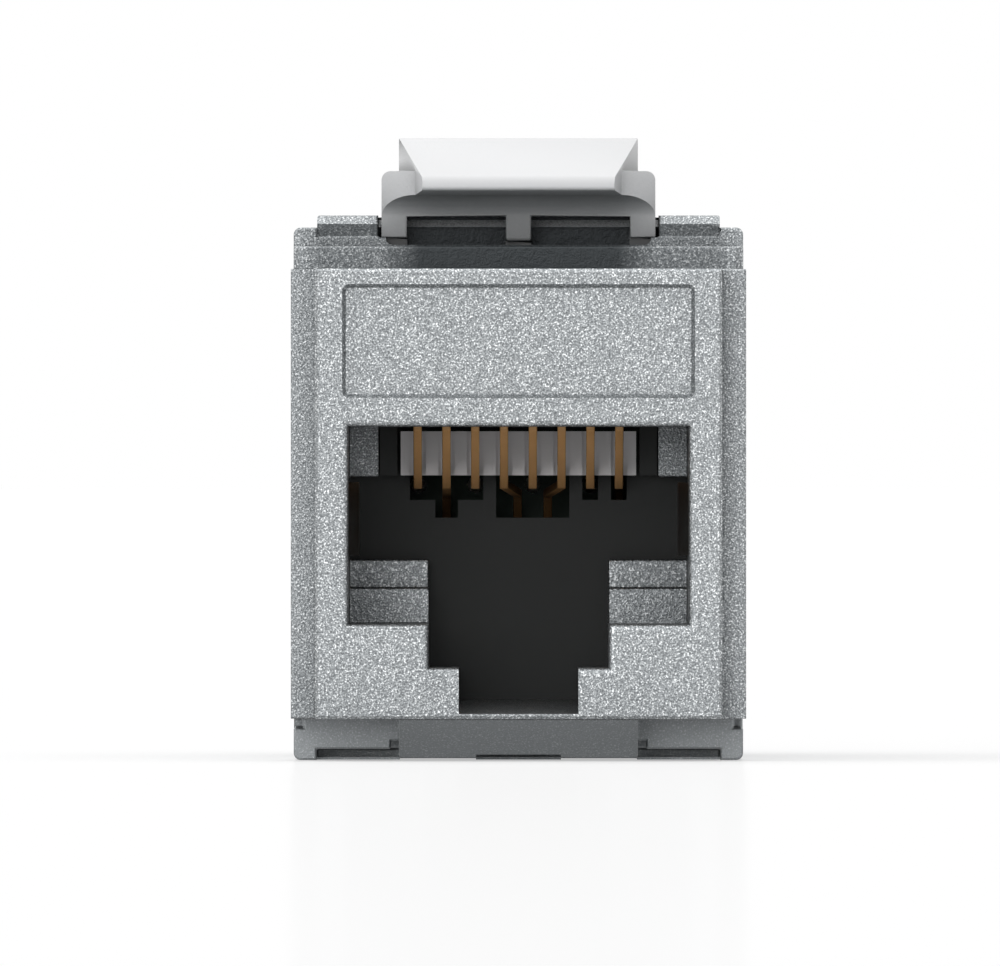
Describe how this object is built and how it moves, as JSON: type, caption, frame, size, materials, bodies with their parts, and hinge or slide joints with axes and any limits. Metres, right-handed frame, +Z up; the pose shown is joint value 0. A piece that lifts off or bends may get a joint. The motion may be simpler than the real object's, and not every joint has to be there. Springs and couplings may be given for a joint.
{
  "type": "keystone jack",
  "caption": "Screened keystone jack: die-cast housing with a plug port in front, a plastic release latch on top, and hinged rear wings that close over the wire terminals and grip the cable.",
  "frame": {"origin": "centre of the flat face of the nose, which fills the panel window", "axes": "-Y is the way the port faces, +Y runs back along the body to the cable neck, +Z is up towards the latch, +X is to the right seen from the front"},
  "size_m": [0.016, 0.038, 0.022],
  "materials": {
    "zinc_casting": "matte",
    "white_plastic": "gloss",
    "black_plastic": "satin",
    "grey_plastic": "satin",
    "cream_plastic": "satin",
    "gold_plating": "satin",
    "tinned_bronze": "satin",
    "spring_bronze": "satin",
    "pin_steel": "satin",
    "board_laminate": "satin"
  },
  "bodies": {
    "housing": {"front_housing": "zinc_casting", "port_insert": "black_plastic", "contact_comb": "grey_plastic", "contact_1": "gold_plating", "contact_2": "gold_plating", "contact_3": "gold_plating", "contact_4": "gold_plating", "contact_5": "gold_plating", "contact_6": "gold_plating", "contact_7": "gold_plating", "contact_8": "gold_plating", "circuit_board": "board_laminate", "terminal_block": "cream_plastic", "idc_1": "tinned_bronze", "idc_2": "tinned_bronze", "idc_3": "tinned_bronze", "idc_4": "tinned_bronze", "idc_5": "tinned_bronze", "idc_6": "tinned_bronze", "idc_7": "tinned_bronze", "idc_8": "tinned_bronze", "shield_spring_left": "spring_bronze", "shield_spring_right": "spring_bronze", "hinge_pin_left": "pin_steel", "hinge_pin_right": "pin_steel"},
    "latch": {"release_latch": "white_plastic"},
    "left_wing": {"wing_left": "zinc_casting"},
    "right_wing": {"wing_right": "zinc_casting"},
    "organizer": {"wire_organizer": "cream_plastic"}
  },
  "joints": [
    {"name": "latch_press", "type": "hinge", "parent": "housing", "child": "latch", "pos_m": [0, 0.00725, 0.00834], "axis": [-1, 0, 0], "range_deg": [0, 6], "stiffness_Nm_per_rad": 0.2, "springref_deg": -2.86},
    {"name": "wing_left_open", "type": "hinge", "parent": "housing", "child": "left_wing", "pos_m": [-0.00653, 0.0205, 0], "axis": [0, 0, 1], "range_deg": [0, 90]},
    {"name": "wing_right_open", "type": "hinge", "parent": "housing", "child": "right_wing", "pos_m": [0.00653, 0.0205, 0], "axis": [0, 0, -1], "range_deg": [0, 90]},
    {"name": "organizer_pull", "type": "slide", "parent": "housing", "child": "organizer", "axis": [0, 1, 0], "range_m": [0, 0.003]}
  ]
}
